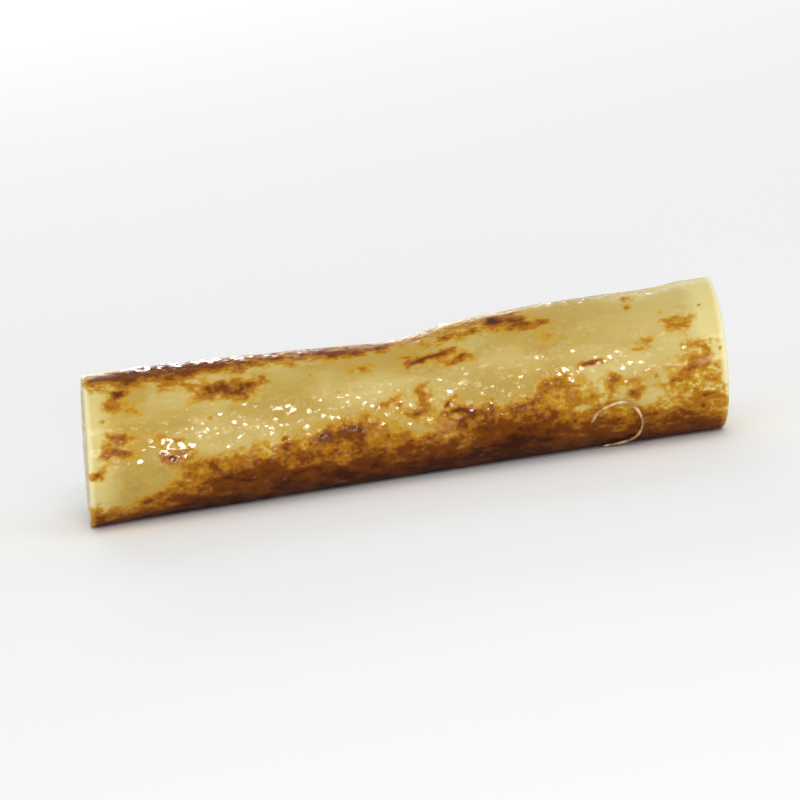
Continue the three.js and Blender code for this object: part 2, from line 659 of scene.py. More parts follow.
    def coverage(self, places: Places) -> Array:
        """The skin left at each place.

        It is the band below the border, which gets denser over some 60 degrees and ends low on the back,
        plus the patches, plus noise. The band's deepening far below the border is partly painted shade under
        the root. The noise is fullest where skin and flesh meet, so that clean flesh stays clean, and each
        place is first moved a little by noise, so that no patch keeps an even outline.

        Args:
            places: where to look.

        Returns:
            One value for each place.
        """
        shift = self.shift_along.at(places.points_mm)
        turned = places.angle + self.shift_degrees * self.shift_round.at(places.points_mm)
        moved = replace(places, along=places.along + self.shift_mm * shift / places.length_mm, angle=turned)
        stops = np.array(self.border)
        below = moved.angle % 360.0 - np.interp(moved.along, stops[:, 0], stops[:, 1])
        # The front band: skin below the border, whose deepening further down is partly painted shade.
        front = self.thin_skin.at(below) + self.full_skin.at(below)
        before_end = short_way(self.back_end - moved.angle, 0.0)
        skin = front * self.back_fade.at(before_end + self.back_raggedness * shift)
        skin += sum(patch.at(moved) for patch in self.patches)
        rough = self.coarse_rough * self.coarse.at(places.points_mm)
        rough += self.fine_rough * self.fine.at(places.points_mm)
        return skin + rough * self.room_for_rough.at(skin)

    def brine(self, places: Places, skin: Array) -> Array:
        """How thick the brine lies: the wet patches, and strays here and there off the skin.

        Args:
            places: where to look.
            skin: how much skin is left there.

        Returns:
            One value for each place: from 0 to 1 a share of drops that are wet, and over 1 it pools.
        """
        stray = self.stray_depth.at(self.stray_brine.at(places.points_mm)) * self.stray_on_skin.at(skin)
        thick = sum(patch.at(places) for patch in self.wet) + stray
        return np.clip(thick, 0.0, self.most_brine) * self.dry_ends.at(places.from_cut())

    def scar_shape(self, places: Places) -> tuple[Array, Array]:
        """The side-root scars and the folds by them.

        Args:
            places: where to look.

        Returns:
            Height in millimetres, and darkness from 0 to 1, for each place.
        """
        height = sum(crease.at(places) for crease in self.creases)
        dark = np.zeros(len(places.along))
        for scar in self.scars:
            scar_height, pit = scar.at(places)
            height += scar_height
            dark = np.maximum(dark, pit)
        return height, dark


@dataclass
class Relief:
    """Heights of the fine surface over the smooth form, in millimetres."""

    lumps_mm: float = 0.11
    lumps: Noise = Noise(7, 7.0, 7.0)
    strokes_mm: float = 0.03
    strokes: Noise = Noise(10, 16.0, 2.6)
    strokes_middle: float = 0.3
    fibres_mm: float = 0.008
    fibres: Noise = Noise(13, 8.0, 0.5)
    wrinkles_mm: float = 0.03
    wrinkles: Noise = Noise(16, 0.62, 3.4)
    wrinkles_on_flesh: float = 0.25
    beads_mm: float = 0.045
    beads: Noise = Noise(19, 1.05, 1.05, 0.42)
    beads_where_dry: float = 0.15
    skin_mm: float = 0.05
    skin_edge: Ramp = Ramp(0.38, 0.62)
    pits_mm: float = 0.05
    pits_where_dry: float = 0.3
    pit_seed: int = 22
    pit_spacing_mm: float = 2.3
    pit_radius_mm: float = 0.26
    pit_mark_mm: float = 0.2
    dome_mm: float = 0.16
    core_mm: float = 0.05
    core_radius: float = 0.16
    ring_mm: float = 0.055
    ring_share: float = 0.80
    ring_wander: float = 0.012
    ring_width: float = 0.022
    rays_mm: float = 0.035
    ray_noise: Noise = Noise(27, 1.0, 1.0)
    rays_round: float = 9.0
    rays_out: float = 1.6
    rays_begin: Ramp = Ramp(0.06, 0.43)
    blade_mm: float = 0.018
    blade_seed: int = 30
    blade_marks: tuple[float, float, float] = (0.0, 0.25, 1.7)
    grain_mm: float = 0.024
    grain: Noise = Noise(33, 0.55, 0.55)
    cut_edge: Ramp = Ramp(0.0, 0.1)

    def side(self, points_mm: Array, skin: Array, brine: Array, scars: Array) -> Array:
        """Height at places on the side.

        Broad lumps, the long shallow flats of a scraping knife, fine fibres along bare flesh, wrinkles
        round skin that was left, the beaded wet film, the step up to the skin, small pits, and the scars.

        Args:
            points_mm: the places.
            skin: how much skin is left there.
            brine: how thick the brine lies there.
            scars: height of the scars there.

        Returns:
            One height for each place.
        """
        cover = self.skin_edge.at(skin)
        flats = self.strokes_middle - np.abs(self.strokes.at(points_mm))
        pits = bell(self.pit_distance(points_mm), self.pit_radius_mm)
        return (
            self.lumps_mm * self.lumps.at(points_mm)
            + self.strokes_mm * flats
            + self.fibres_mm * self.fibres.at(points_mm) * (1.0 - cover)
            + self.wrinkles_mm * self.wrinkles.at(points_mm) * no_less(self.wrinkles_on_flesh, cover)
            + self.beads_mm * self.beads.at(points_mm) * no_less(self.beads_where_dry, brine)
            + self.skin_mm * cover
            - self.pits_mm * pits * no_less(self.pits_where_dry, brine)
            + scars
        )

    def pit_distance(self, points_mm: Array) -> Array:
        """How far the nearest small pit's middle is, in millimetres."""
        return nearest_seed(points_mm / self.pit_spacing_mm, self.pit_seed) * self.pit_spacing_mm

    def pit_marks(self, points_mm: Array) -> Array:
        """How dark the small pits are, from 0 to 1, in the places where side() sinks them."""
        return bell(self.pit_distance(points_mm), self.pit_mark_mm)

    def rays(self, share: Array, angle: Array) -> Array:
        """Rays that run out from the core: noise that changes fast with the angle and slowly along it.

        Args:
            share: distance from the core over distance to the edge.
            angle: degrees round the core.

        Returns:
            One value of about -1 to 1 for each place.
        """
        turn = np.radians(angle)
        across = np.column_stack([np.cos(turn), np.sin(turn)]) * self.rays_round
        return self.ray_noise.at(np.column_stack([across, share * self.rays_out]))

    def cut(self, share: Array, angle: Array, points_mm: Array) -> Array:
        """Height at places on a cut face.

        The core stands a little proud, the growth ring is a shallow groove, rays run out from the core, the
        blade left faint parallel marks, and the wet surface is beaded.

        Args:
            share: distance from the core over distance to the edge.
            angle: degrees round the core.
            points_mm: the places.

        Returns:
            One height for each place, fading to nothing at the edge.
        """
        rays = self.rays(share, angle)
        ring = bell(share - self.ring_share - self.ring_wander * rays, self.ring_width)
        blade = gradient_noise(points_mm * np.array(self.blade_marks), self.blade_seed)
        height = (
            self.dome_mm * (1.0 - share**2)
            + self.core_mm * bell(share, self.core_radius)
            - self.ring_mm * ring
            + self.rays_mm * rays * self.rays_begin.at(share)
            + self.blade_mm * blade
            + self.grain_mm * self.grain.at(points_mm)
        )
        return height * self.cut_edge.at(1.0 - share)


# ---------------------------------------------------------------------------------------------------------
# Pieces
# ---------------------------------------------------------------------------------------------------------


class FaceKind(Enum):
    """Which finish a face of the root takes, by its place in the mesh's material list."""

    SIDE = 0
    CUT = 1


def new_object(name: str, mesh: bpy.types.Mesh) -> bpy.types.Object:
    """Links a mesh into the scene as an object at the origin.

    Args:
        name: the object's name.
        mesh: its mesh.

    Returns:
        The object.
    """
    made = bpy.data.objects.new(name, mesh)
    bpy.context.scene.collection.objects.link(made)
    return made


def mesh_from_arrays(name: str, points: Array, faces: list[Array]) -> bpy.types.Mesh:
    """A smooth-shaded mesh from whole arrays.

    Args:
        name: the mesh's name.
        points: vertices, one row each.
        faces: blocks of faces, each an array with one row of vertex numbers for each face.

    Returns:
        The mesh, with its faces in the order given.
    """
    mesh = bpy.data.meshes.new(name)
    corners = np.concatenate([block.ravel() for block in faces]).astype(np.int32)
    sizes = np.concatenate([np.full(len(block), block.shape[1]) for block in faces]).astype(np.int32)
    starts = np.concatenate([[0], np.cumsum(sizes)[:-1]]).astype(np.int32)
    mesh.vertices.add(len(points))
    mesh.vertices.foreach_set("co", points.astype(np.float32).ravel())
    mesh.loops.add(len(corners))
    mesh.loops.foreach_set("vertex_index", corners)
    mesh.polygons.add(len(sizes))
    mesh.polygons.foreach_set("loop_start", starts)
    mesh.polygons.foreach_set("use_smooth", np.ones(len(sizes), bool))
    mesh.update(calc_edges=True)
    mesh.validate()
    return mesh


def round_and_next(sides: int) -> tuple[Array, Array]:
    """The numbers of the places round a ring, and of the place after each."""
    here = np.arange(sides)
    return here, (here + 1) % sides


def ring_faces(rows: int, sides: int) -> Array:
    """Four-sided faces between rows of a grid that closes on itself round its sides.

    Args:
        rows: how many rings.
        sides: how many points each ring has.

    Returns:
        One row of four vertex numbers for each face.
    """
    row = np.arange(rows - 1)[:, None] * sides
    following = row + sides
    here, after = round_and_next(sides)
    return np.stack([row + here, following + here, following + after, row + after], axis=-1).reshape(-1, 4)


@dataclass
class RootSurface:
    """The root's fine mesh: a grid of rings from cut to cut, and rings that close in on a pole at each."""

    form: RootForm
    skin_map: SkinMap
    relief: Relief
    sides: int = 336
    side_rows: int = 222
    edge_rows: int = 7
    cut_rings: int = 30
    edge_mm: float = 0.34
    pit_darkness: float = 0.6
    rays_shown: Ramp = Ramp(0.06, 0.3)

    def rows(self) -> tuple[Array, Array]:
        """Where each ring of the side lies.

        In a rounded edge of radius R at a turn a, a ring is R (1 - cos a) from the cut and drawn in by
        R (1 - sin a). Between the edges the rings are evenly spaced.

        Returns:
            Shares of the length, and insets in metres.
        """
        turn = np.linspace(0.0, math.pi / 2, self.edge_rows, endpoint=False)
        radius = self.edge_mm * MM
        near = radius * (1.0 - np.cos(turn)) / self.form.length
        inset = radius * (1.0 - np.sin(turn))
        first = radius / self.form.length
        middle = np.linspace(first, 1.0 - first, self.side_rows)
        along = np.concatenate([near, middle, 1.0 - near[::-1]])
        return along, np.concatenate([inset, np.zeros(self.side_rows), inset[::-1]])

    def worked(self, along: Array, angle: Array, inset: Array | float = 0.0) -> tuple[Array, Carried]:
        """The smooth form with the relief worked into it.

        Args:
            along: shares of the length.
            angle: degrees from the back over the top.
            inset: how far each point is drawn in towards the middle line.

        Returns:
            The points, and the named values that each one carries.
        """
        base = self.form.place(along, angle, inset)
        places = Places(along, angle, base / MM, self.form.length / MM)
        skin = self.skin_map.coverage(places)
        brine = self.skin_map.brine(places, skin)
        scar_height, scar_dark = self.skin_map.scar_shape(places)
        height = self.relief.side(places.points_mm, skin, brine, scar_height)
        points = base + self.form.outward(along, angle, inset) * height[:, None] * MM
        points[:, 2] = np.clip(points[:, 2], 0.0, None)
        return points, {
            "skin": skin,
            "brine": brine,
            "scar": np.maximum(scar_dark, self.pit_darkness * self.relief.pit_marks(places.points_mm)),
            "cut_distance": places.from_cut(),
            "core_share": np.ones(len(along)),
            "ray": np.zeros(len(along)),
        }

    def side(self) -> tuple[Array, Carried]:
        """The side, row by row.

        Returns:
            The points, and the named values of each.
        """
        rows, insets = self.rows()
        angle = np.tile(np.arange(self.sides) * 360.0 / self.sides, len(rows))
        return self.worked(np.repeat(rows, self.sides), angle, np.repeat(insets, self.sides))

    def cut(self, rim: Array, outwards: float) -> tuple[Array, Carried]:
        """Points of one cut face inside its rim, ring by ring, with the pole last.

        A ring at share s of the way out is the core plus s times the way to the rim, raised along the root.

        Args:
            rim: the side's last ring.
            outwards: -1 at the thin cut and 1 at the thick one.

        Returns:
            The points, and the named values of each.
        """
        core = rim.mean(axis=0)
        shares = 1.0 - np.arange(1, self.cut_rings) / self.cut_rings
        share = np.append(np.repeat(shares, self.sides), 0.0)
        spoke = np.append(np.tile(np.arange(self.sides), len(shares)), 0)
        angle = spoke * 360.0 / self.sides
        points = core + (rim[spoke] - core) * share[:, None]
        points[:, 0] += outwards * self.relief.cut(share, angle, points / MM) * MM
        carried = dict.fromkeys(("skin", "brine", "scar", "cut_distance"), np.zeros(len(share)))
        carried["core_share"] = share
        carried["ray"] = self.relief.rays(share, angle) * self.rays_shown.at(share)
        return points, carried

    def cut_faces(self, rim_start: int, first: int, flip: bool) -> list[Array]:
        """Faces of one cut: rings inward from the rim, then a fan round the pole.

        Args:
            rim_start: number of the rim's first vertex.
            first: number of the cut's own first vertex.
            flip: turns the faces round, so that they look outwards.

        Returns:
            A block of quads and a block of triangles.
        """
        here, after = round_and_next(self.sides)
        starts = [rim_start] + [first + ring * self.sides for ring in range(self.cut_rings - 1)]
        bands = zip(starts, starts[1:])
        rings = [np.stack([a + here, a + after, b + after, b + here], axis=1) for a, b in bands]
        pole = np.full(self.sides, first + (self.cut_rings - 1) * self.sides)
        fan = np.stack([starts[-1] + here, starts[-1] + after, pole], axis=1)
        faces = [np.concatenate(rings), fan]
        return [block[:, ::-1] for block in faces] if flip else faces

    def build(self) -> bpy.types.Object:
        """Makes the whole mesh, with its named values as attributes.

        Returns:
            The root, with no materials yet.
        """
        side, carried = self.side()
        rows = len(side) // self.sides
        thick_rim = (rows - 1) * self.sides
        thin, thin_carried = self.cut(side[: self.sides], -1.0)
        thick, thick_carried = self.cut(side[thick_rim:], 1.0)
        grid = ring_faces(rows, self.sides)
        thin_faces = self.cut_faces(0, len(side), True)
        thick_faces = self.cut_faces(thick_rim, len(side) + len(thin), False)
        points = np.concatenate([side, thin, thick])
        mesh = mesh_from_arrays("scraped_root", points, [grid[:, ::-1], *thin_faces, *thick_faces])
        kinds = np.full(len(mesh.polygons), FaceKind.CUT.value, np.int32)
        kinds[: len(grid)] = FaceKind.SIDE.value
        mesh.polygons.foreach_set("material_index", kinds)
        for name in carried:
            values = np.concatenate([carried[name], thin_carried[name], thick_carried[name]])
            attribute = mesh.attributes.new(name, "FLOAT", "POINT")
            attribute.data.foreach_set("value", values.astype(np.float32))
        return new_object("scraped_root", mesh)


def through_points(points: Array, count: int) -> Array:
    """A smooth curve through points, evenly sampled.

    Between two neighbours it is the Catmull-Rom cubic, whose slope at each point is half the way from the
    point before to the point after.

    Args:
        points: the points to pass through, one row each.
        count: how many samples to give back.

    Returns:
        The samples, one row each.
    """
    padded = np.concatenate([[2 * points[0] - points[1]], points, [2 * points[-1] - points[-2]]])
    place = np.linspace(0.0, len(points) - 1.0, count)
    piece = np.minimum(place.astype(int), len(points) - 2)
    t = (place - piece)[:, None]
    a, b, c, d = (padded[piece + k] for k in range(4))
    return 0.5 * (2 * b + (c - a) * t + (2 * a - 5 * b + 4 * c - d) * t**2 + (3 * b - a - 3 * c + d) * t**3)


@dataclass
class Rootlet:
    """A hair-thin side root that clings to the wet skin.

    Its route is a list of stops, each a share of the length, an angle in degrees, and a height off the
    skin in millimetres.
    """

    name: str
    stops: tuple[tuple[float, float, float], ...]
    start_mm: float
    end_mm: float
    samples: int = 96
    sides: int = 10
    unevenness: float = 0.16
    waves: tuple[float, float] = (23.0, 7.0)
    tip_share: float = 0.02
    tip_least: float = 0.06

    def route(self, surface: RootSurface) -> tuple[Array, Array]:
        """The middle of the rootlet, over the skin at each stop's height.

        Args:
            surface: the root that it clings to.

        Returns:
            Points along it, and the skin's normal at each.
        """
        along, angle, height = through_points(np.array(self.stops), self.samples).T
        skin, _ = surface.worked(along, angle)
        normal = surface.form.outward(along, angle)
        return skin + normal * (height[:, None] * MM), normal

    def radii(self) -> Array:
        """The radius along the rootlet.

        It goes evenly from start to end, made uneven by the product of two waves, and at the tips it closes
        as a quarter circle.

        Returns:
            One radius for each sample, in metres.
        """
        share = np.linspace(0.0, 1.0, self.samples)
        radius = (self.start_mm + (self.end_mm - self.start_mm) * share) * MM
        waves = np.sin(share * self.waves[0]) * np.sin(share * self.waves[1] + 1.0)
        tip = np.clip(np.minimum(share, 1.0 - share) / self.tip_share, self.tip_least, 1.0)
        return radius * (1.0 + self.unevenness * waves) * np.sqrt(1.0 - (1.0 - tip) ** 2)

    def build(self, surface: RootSurface) -> bpy.types.Object:
        """The rootlet as a tube closed by a pole at each end.

        A ring stands square to the route: its points are the middle plus the radius times
        side * cos(turn) + up * sin(turn), where side is square to the route and to the skin's normal.

        Args:
            surface: the root that it clings to.

        Returns:
            The rootlet, with no material yet.
        """
        route, normal = self.route(surface)
        radius = self.radii()
        way = unit(np.gradient(route, axis=0))
        side = unit(np.cross(way, normal))
        up = np.cross(side, way)
        turn = np.arange(self.sides) * 2 * math.pi / self.sides
        rings = side[:, None] * np.cos(turn)[:, None] + up[:, None] * np.sin(turn)[:, None]
        tube = (route[:, None] + rings * radius[:, None, None]).reshape(-1, 3)
        points = np.concatenate([tube, route[:1] - way[:1] * radius[0], route[-1:] + way[-1:] * radius[-1]])
        here, after = round_and_next(self.sides)
        last = (self.samples - 1) * self.sides
        start_fan = np.stack([here, after, np.full(self.sides, len(tube))], axis=1)
        end_fan = np.stack([last + after, last + here, np.full(self.sides, len(tube) + 1)], axis=1)
        faces = [ring_faces(self.samples, self.sides), start_fan, end_fan]
        return new_object(self.name, mesh_from_arrays(self.name, points, faces))


# ---------------------------------------------------------------------------------------------------------
# Finishes
# ---------------------------------------------------------------------------------------------------------


class Nodes:
    """Adds nodes to one shader tree and joins them, so that a finish reads as a list of steps."""

    columns = 12
    column_width = 180.0
    row_height = 260.0

    def __init__(self, tree: bpy.types.NodeTree) -> None:
        """Starts adding to a tree."""
        self.tree = tree
        self.count = 0

    def add(self, kind: str, inputs: dict | None = None, **settings: object) -> bpy.types.Node:
        """One node, laid out after the last one.

        Args:
            kind: the node's type name, without its ShaderNode prefix.
            inputs: what goes into its sockets, by name or number: a value, or a socket to join.
            settings: the node's own properties.

        Returns:
            The node.
        """
        row, column = divmod(self.count, self.columns)
        made = self.tree.nodes.new("ShaderNode" + kind)
        made.location = (self.column_width * column, -self.row_height * row)
        self.count += 1
        for name, value in settings.items():
            setattr(made, name, value)
        for name, value in (inputs or {}).items():
            self.feed(made.inputs[name], value)
        return made

    def feed(self, socket: Socket, value: object) -> None:
        """Joins a socket to another, or sets its value.

        Args:
            socket: the socket that is fed.
            value: another socket, a number, a colour or a vector.
        """
        if isinstance(value, Socket):
            self.tree.links.new(value, socket)
        elif isinstance(value, tuple) and len(value) == 3 and socket.type == "RGBA":
            socket.default_value = (*value, 1.0)
        else:
            socket.default_value = value

    def math(self, operation: str, *values: object) -> Socket:
        """The result of a Math node on up to three numbers."""
        return self.add("Math", dict(enumerate(values)), operation=operation).outputs[0]

    def vector(self, operation: str, first: object, second: object) -> Socket:
        """The result of a Vector Math node on two vectors."""
        output = "Value" if operation == "DOT_PRODUCT" else "Vector"
        return self.add("VectorMath", {0: first, 1: second}, operation=operation).outputs[output]

    def remap(self, value: Socket, ramp: Ramp) -> Socket:
        """A number taken along a ramp.

        Args:
            value: the number.
            ramp: what it goes through.

        Returns:
            The ramp's height there.
        """
        limits = {"From Min": ramp.low, "From Max": ramp.high, "To Min": ramp.start, "To Max": ramp.stop}
        made = self.add("MapRange", {"Value": value, **limits}, interpolation_type="SMOOTHSTEP")
        return made.outputs["Result"]

    def blend(self, share: Socket, first: object, second: object) -> Socket:
        """Two colours mixed, where share is how much of the second one shows."""
        return self.add("Mix", {0: share, 6: first, 7: second}, data_type="RGBA").outputs[2]

    def add_around_half(self, value: Socket, strength: float, base: object) -> Socket:
        """strength * (value - 0.5) + base."""
        return self.math("MULTIPLY_ADD", self.math("SUBTRACT", value, 0.5), strength, base)

    def carried(self, name: str) -> Socket:
        """One of the mesh's named values."""
        return self.add("Attribute", attribute_name=name).outputs["Fac"]

    def place(self) -> Socket:
        """The point's own place in the frame."""
        return self.add("TexCoord").outputs["Object"]

    def shown(self, shader: bpy.types.Node) -> None:
        """Makes a shader the material's surface."""
        self.add("OutputMaterial", {"Surface": shader.outputs[0]})


class SharedEffect:
    """A node group that several finishes use, built once."""

    name = ""
    inputs: tuple[tuple[str, str, object], ...] = ()
    outputs: tuple[tuple[str, str], ...] = ()

    def tree(self) -> bpy.types.NodeTree:
        """The group, made the first time that it is asked for."""
        return bpy.data.node_groups.get(self.name) or self.make()

    def make(self) -> bpy.types.NodeTree:
        """Builds the group with its named sockets.

        Returns:
            The group.
        """
        tree = bpy.data.node_groups.new(self.name, "ShaderNodeTree")
        for name, kind, value in self.inputs:
            socket = tree.interface.new_socket(name, in_out="INPUT", socket_type="NodeSocket" + kind)
            socket.default_value = value
        for name, kind in self.outputs:
            tree.interface.new_socket(name, in_out="OUTPUT", socket_type="NodeSocket" + kind)
        entry = tree.nodes.new("NodeGroupInput")
        leave = tree.nodes.new("NodeGroupOutput")
        for name, socket in self.steps(Nodes(tree), entry.outputs).items():
            tree.links.new(socket, leave.inputs[name])
        return tree

    def steps(self, nodes: Nodes, given: bpy.types.NodeOutputs) -> dict[str, Socket]:
        """Adds the group's nodes between the sockets given and the sockets given back, both by name."""
        raise NotImplementedError

    def put(self, nodes: Nodes, inputs: dict) -> bpy.types.Node:
        """Places the group in another tree, with its sockets fed by name."""
        return nodes.add("Group", inputs, node_tree=self.tree())


class Grain(SharedEffect):
    """Noise of a real size in millimetres, drawn out along the root if wanted."""

    name = "grain"
    inputs = (
        ("Place", "Vector", (0.0, 0.0, 0.0)),
        ("Size mm", "Float", 1.0),
        ("Drawn Out", "Float", 1.0),
        ("Detail", "Float", 2.0),
    )
    outputs = (("Value", "Float"),)
    layer_gain = 0.55

    def steps(self, nodes: Nodes, given: bpy.types.NodeOutputs) -> dict[str, Socket]:
        """Squeezes the place along X, scales it to the size and looks up noise there.

        Args:
            nodes: the group's nodes.
            given: the place, the size, how far it is drawn out, and the detail.

        Returns:
            The noise, about 0.5 on the whole.
        """
        squeeze = nodes.math("DIVIDE", 1.0, given["Drawn Out"])
        stretch = nodes.add("CombineXYZ", {"X": squeeze, "Y": 1.0, "Z": 1.0}).outputs[0]
        drawn = nodes.vector("MULTIPLY", given["Place"], stretch)
        scale = nodes.math("DIVIDE", 1.0 / MM, given["Size mm"])
        noise = {"Vector": drawn, "Scale": scale, "Detail": given["Detail"], "Roughness": self.layer_gain}
        return {"Value": nodes.add("TexNoise", noise).outputs["Fac"]}


class PickleStain(SharedEffect):
    """Takes flesh through yellow, gold and brown to near black as the skin on it gets denser. The near-black
    end, reached low on the side, is partly painted shade.
    """

    name = "pickle_stain"
    inputs = (
        ("Flesh", "Color", (0.5, 0.36, 0.1, 1.0)),
        ("Yellow", "Color", (0.46, 0.27, 0.03, 1.0)),
        ("Gold", "Color", (0.42, 0.2, 0.025, 1.0)),
        ("Brown", "Color", (0.2, 0.07, 0.01, 1.0)),
        ("Dark", "Color", (0.05, 0.014, 0.004, 1.0)),
        ("Density", "Float", 0.0),
    )
    outputs = (("Color", "Color"),)
    stages = (
        ("Yellow", Ramp(0.04, 0.22)),
        ("Gold", Ramp(0.18, 0.44)),
        ("Brown", Ramp(0.44, 0.84)),
        # The darkest stage: dense skin, and painted shade where the side turns under.
        ("Dark", Ramp(0.80, 1.30)),
    )

    def steps(self, nodes: Nodes, given: bpy.types.NodeOutputs) -> dict[str, Socket]:
        """Four soft stages, each laid over the last.

        Args:
            nodes: the group's nodes.
            given: the flesh's colour, the colour of each stage, and the skin's density.

        Returns:
            The stained colour.
        """
        colour = given["Flesh"]
        for name, ramp in self.stages:
            colour = nodes.blend(nodes.remap(given["Density"], ramp), colour, given[name])
        return {"Color": colour}


class WetFacets(SharedEffect):
    """Small flat drops, each tipped its own way, so that a lamp shows in one here and one there."""

    name = "wet_facets"
    inputs = (
        ("Place", "Vector", (0.0, 0.0, 0.0)),
        ("Size mm", "Float", 0.5),
        ("Tilt", "Float", 0.4),
    )
    outputs = (("Height mm", "Float"), ("Chance", "Float"), ("Drop", "Float"))
    lean_limits = (0.4, 1.0, 1.0)
    drop_edge = Ramp(0.52, 0.30)

    def steps(self, nodes: Nodes, given: bpy.types.NodeOutputs) -> dict[str, Socket]:
        """Splits the place into cells, each with a chance of its own and a round drop in its middle.

        A drop's height is the way from its cell's centre dotted with the cell's own lean, which is slighter
        along the root. The chance is from 0 to 1.

        Args:
            nodes: the group's nodes.
            given: the place, the cells' size and how far they are tipped.

        Returns:
            The height, the chance, and how much of a drop is there.
        """
        scale = nodes.math("DIVIDE", 1.0 / MM, given["Size mm"])
        cells = {"Vector": given["Place"], "Scale": scale, "Randomness": 1.0}
        cell = nodes.add("TexVoronoi", cells).outputs
        lean = nodes.vector("SUBTRACT", cell["Color"], (0.5, 0.5, 0.5))
        lean = nodes.vector("MULTIPLY", lean, self.lean_limits)
        rise = nodes.vector("DOT_PRODUCT", nodes.vector("SUBTRACT", given["Place"], cell["Position"]), lean)
        height = nodes.math("MULTIPLY", nodes.math("MULTIPLY", rise, 1.0 / MM), given["Tilt"])
        chance = nodes.add("TexWhiteNoise", {"Vector": cell["Position"]}, noise_dimensions="3D")
        drop = nodes.remap(cell["Distance"], self.drop_edge)
        return {"Height mm": height, "Chance": chance.outputs["Value"], "Drop": drop}


class BrineFilm(SharedEffect):
    """The wet film: small rises that catch the light, where they are wet, and how glossy they are."""

    name = "brine_film"
    inputs = (
        ("Place", "Vector", (0.0, 0.0, 0.0)),
        ("Brine", "Float", 0.5),
        ("Bead mm", "Float", 0.5),
        ("Driest", "Float", 0.4),
        ("Wettest", "Float", 0.1),
    )
    outputs = (("Height mm", "Float"), ("Wet", "Float"), ("Roughness", "Float"))
    tilt = 0.40
    bead_rise = 0.035
    depth = Ramp(0.02, 0.25, 0.12, 1.0)
    pool = Ramp(1.0, 1.3)
    pool_calm = 0.75
    damp = 0.1

    def steps(self, nodes: Nodes, given: bpy.types.NodeOutputs) -> dict[str, Socket]:
        """Beads and drops for the height, both fainter where it is dry, and the gloss from the brine.

        A drop is wet if its own chance is less than the brine there. Over 1 the brine pools, which joins
        the drops into a smooth film.

        Args:
            nodes: the group's nodes.
            given: the place, the brine, the beads' size, and the roughness where it is driest and wettest.

        Returns:
            The height, how wet it is from 0 to 1, and the roughness.
        """
        sizes = {"Place": given["Place"], "Size mm": given["Bead mm"]}
        beads = Grain().put(nodes, sizes).outputs["Value"]
        drops = WetFacets().put(nodes, {**sizes, "Tilt": self.tilt}).outputs
        pool = nodes.remap(given["Brine"], self.pool)
        wet = nodes.math("GREATER_THAN", given["Brine"], drops["Chance"])
        wet = nodes.math("MULTIPLY", wet, drops["Drop"])
        wet = nodes.math("MULTIPLY_ADD", wet, 1.0 - self.damp, self.damp)
        wet = nodes.math("MAXIMUM", wet, pool)
        calm = nodes.math("MULTIPLY_ADD", pool, -self.pool_calm, 1.0)
        depth = nodes.math("MULTIPLY", nodes.remap(given["Brine"], self.depth), calm)
        rise = nodes.math("MULTIPLY", nodes.math("MULTIPLY", beads, given["Bead mm"]), self.bead_rise)
        height = nodes.math("MULTIPLY", nodes.math("ADD", rise, drops["Height mm"]), depth)
        change = nodes.math("SUBTRACT", given["Wettest"], given["Driest"])
        share = nodes.math("MINIMUM", given["Brine"], 1.0)
        rough = nodes.math("MULTIPLY_ADD", share, change, given["Driest"])
        return {"Height mm": height, "Wet": wet, "Roughness": rough}


@dataclass(frozen=True)
class GrainSize:
    """The size of a grain's coarse lumps, and how far it is drawn out along the root."""

    size_mm: float
    drawn_out: float = 1.0

    def value(self, nodes: Nodes, place: Socket) -> Socket:
        """The grain's value at a place, about 0.5 on the whole."""
        inputs = {"Place": place, "Size mm": self.size_mm, "Drawn Out": self.drawn_out}
        return Grain().put(nodes, inputs).outputs["Value"]


@dataclass(frozen=True)
class BrineCoat:
    """A finish's film of brine: the size of its drops, and its roughness where it is driest and wettest."""

    bead_mm: float
    driest: float
    wettest: float

    def film(self, nodes: Nodes, place: Socket, brine: Socket) -> bpy.types.NodeOutputs:
        """Puts the film on.

        Args:
            nodes: the material's nodes.
            place: the point's place.
            brine: how thick the brine lies there.

        Returns:
            The film's height, wetness and roughness.
        """
        inputs = {"Place": place, "Brine": brine, "Bead mm": self.bead_mm}
        inputs |= {"Driest": self.driest, "Wettest": self.wettest}
        return BrineFilm().put(nodes, inputs).outputs


@dataclass(frozen=True)
class WetFlesh:
    """The shader that wet plant flesh ends in: light goes some way into it, and wet drops lie on it.

    scatter is the share of the light that goes in, and spread is how far each colour of it travels.
    """

    scatter: float = 0.5
    reach_mm: float = 1.3
    spread: Colour = (1.0, 0.58, 0.22)
    flesh_ior: float = 1.3
    flesh_gloss: float = 0.08
    drop_roughness: float = 0.06
    drop_ior: float = 1.5

    def build(self, nodes: Nodes, colour: Socket, film: bpy.types.NodeOutputs, height_mm: Socket) -> None:
        """Ends a material in the shader.

        Args:
            nodes: the material's nodes.
            colour: its colour.
            film: its film of brine.
            height_mm: its fine relief, with the film's.
        """
        bump = nodes.add("Bump", {"Strength": 1.0, "Distance": MM, "Height": height_mm}).outputs["Normal"]
        sockets = {
            "Base Color": colour,
            "Roughness": film["Roughness"],
            "IOR": self.flesh_ior,
            "Specular IOR Level": self.flesh_gloss,
            "Normal": bump,
            "Subsurface Weight": self.scatter,
            "Subsurface Radius": self.spread,
            "Subsurface Scale": self.reach_mm * MM,
            "Coat Weight": film["Wet"],
            "Coat Roughness": self.drop_roughness,
            "Coat IOR": self.drop_ior,
            "Coat Normal": bump,
        }
        nodes.shown(nodes.add("BsdfPrincipled", sockets))


def new_material(name: str) -> tuple[bpy.types.Material, Nodes]:
    """Starts a material.

    Args:
        name: the material's name.

    Returns:
        The material, and its nodes, of which there are none yet.
    """
    made = bpy.data.materials.new(name)
    made.use_nodes = True
    made.node_tree.nodes.clear()
    return made, Nodes(made.node_tree)


